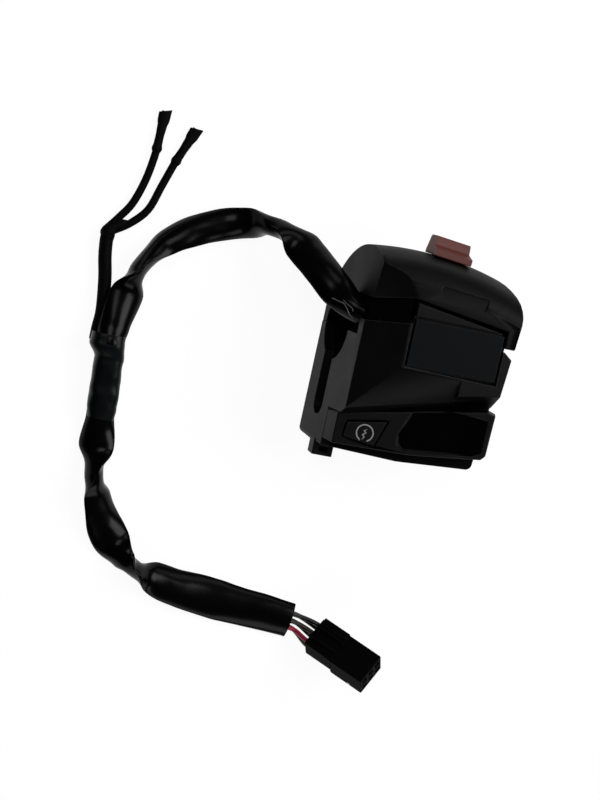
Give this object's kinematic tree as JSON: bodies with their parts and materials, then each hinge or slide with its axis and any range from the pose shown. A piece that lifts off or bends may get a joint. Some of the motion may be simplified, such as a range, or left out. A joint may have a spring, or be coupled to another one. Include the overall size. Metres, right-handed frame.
{
  "type": "handlebar switch cluster",
  "caption": "Right-hand motorbike handlebar switch cluster with a stop slider, a start button in a thumb ledge and a sleeved wiring tail",
  "frame": {"origin": "on the handlebar's axis, at the middle of the clamp bore", "axes": "X along the handlebar towards its end, Y towards the stop slider, Z towards the rider and out of the front panel"},
  "size_m": [0.1343, 0.1758, 0.048],
  "materials": {
    "case_black": "fine moulded grain",
    "ledge_gloss": "polished",
    "knob_red": "satin",
    "carrier_white": "natural",
    "switch_brown": "plain",
    "connector_black": "satin",
    "sleeve_vinyl": "soft and shiny",
    "rubber_black": "dull",
    "wire_black": "insulation",
    "steel": "zinc plated",
    "brass": "bare"
  },
  "bodies": {
    "housing": {"upper_case": "case_black", "lower_case": "case_black", "case_screws": "steel", "case_inserts": "brass", "blank_plate": "case_black", "wire_grommet": "rubber_black", "harness_clamp": "steel", "clamp_screw": "steel", "kill_base": "switch_brown", "kill_terminals": "brass", "kill_base_screws": "steel", "thumb_ledge": "ledge_gloss", "ledge_screws": "steel", "start_spring": "steel", "start_base": "switch_brown", "start_terminals": "brass", "start_base_screws": "steel", "switch_wires": "wire_black", "harness_sleeve": "sleeve_vinyl", "tape_wrap": "sleeve_vinyl", "harness_tail": "sleeve_vinyl", "pigtail_wires": "wire_black", "connector_housing": "connector_black", "connector_terminals": "brass", "connector_lock": "carrier_white", "branch_sleeve": "sleeve_vinyl", "lead_one": "wire_black", "lead_two": "wire_black", "lead_boots": "sleeve_vinyl", "lead_terminals": "brass"},
    "kill_slider": {"kill_knob": "knob_red", "kill_carrier": "carrier_white", "kill_contact": "brass", "detent_ball": "steel", "detent_spring": "steel"},
    "start_plunger": {"start_button": "case_black", "start_contact": "brass"}
  },
  "joints": [
    {"name": "kill_slide", "type": "slide", "parent": "housing", "child": "kill_slider", "axis": [0.9948, -0.102, 0], "range_m": [-0.008, 0]},
    {"name": "start_press", "type": "slide", "parent": "housing", "child": "start_plunger", "axis": [0.2957, 0, -0.9553], "range_m": [0, 0.0025], "stiffness_N_per_m": 400, "springref_m": -0.002, "deforming": ["start_spring"]}
  ]
}
